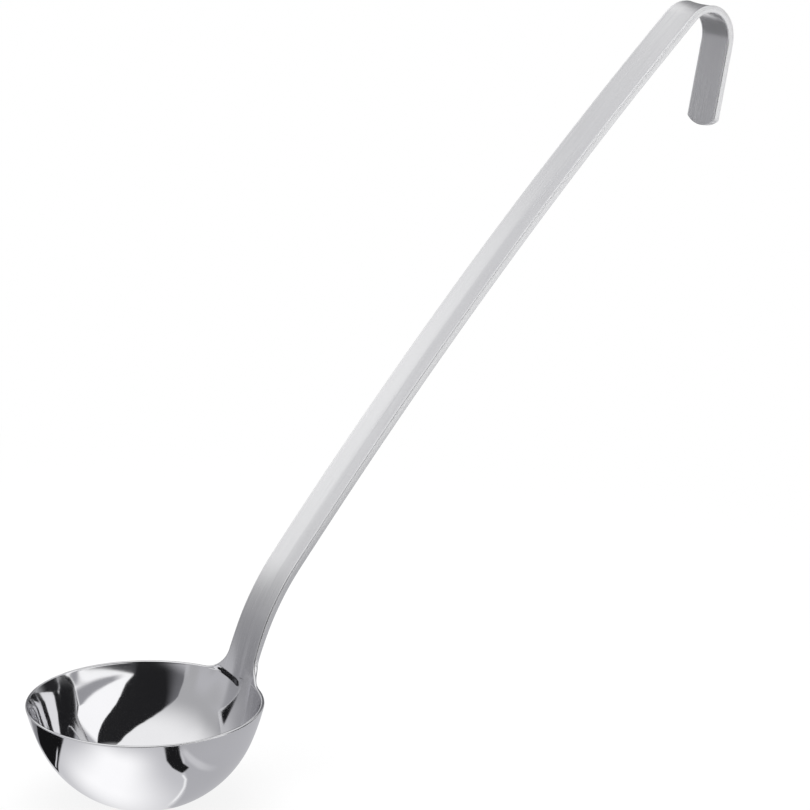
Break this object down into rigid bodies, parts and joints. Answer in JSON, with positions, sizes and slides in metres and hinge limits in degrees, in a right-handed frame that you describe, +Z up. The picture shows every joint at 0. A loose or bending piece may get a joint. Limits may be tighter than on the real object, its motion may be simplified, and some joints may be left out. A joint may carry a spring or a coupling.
{
  "type": "soup ladle",
  "caption": "Soup ladle with a round polished steel bowl and a long satin strap handle, bent at the neck and hooked at its end to hang on a rail.",
  "frame": {"origin": "the top of the hook's inside at the middle of the strap's width, where a rail carries the hung ladle", "axes": "+Z up along the bowl's axis with the rim level, +X from the bowl towards the hook, +Y across the strap; Y = 0 is the mirror plane"},
  "size_m": [0.3414, 0.0896, 0.2759],
  "materials": {
    "bowl_polish": "mirror-polished stainless steel",
    "weld_ground": "ground flush and polished",
    "handle_satin": "satin stainless steel, brushed along its length"
  },
  "bodies": {
    "root": {"bowl": "bowl_polish", "neck_weld": "weld_ground", "handle": "handle_satin"}
  },
  "joints": []
}
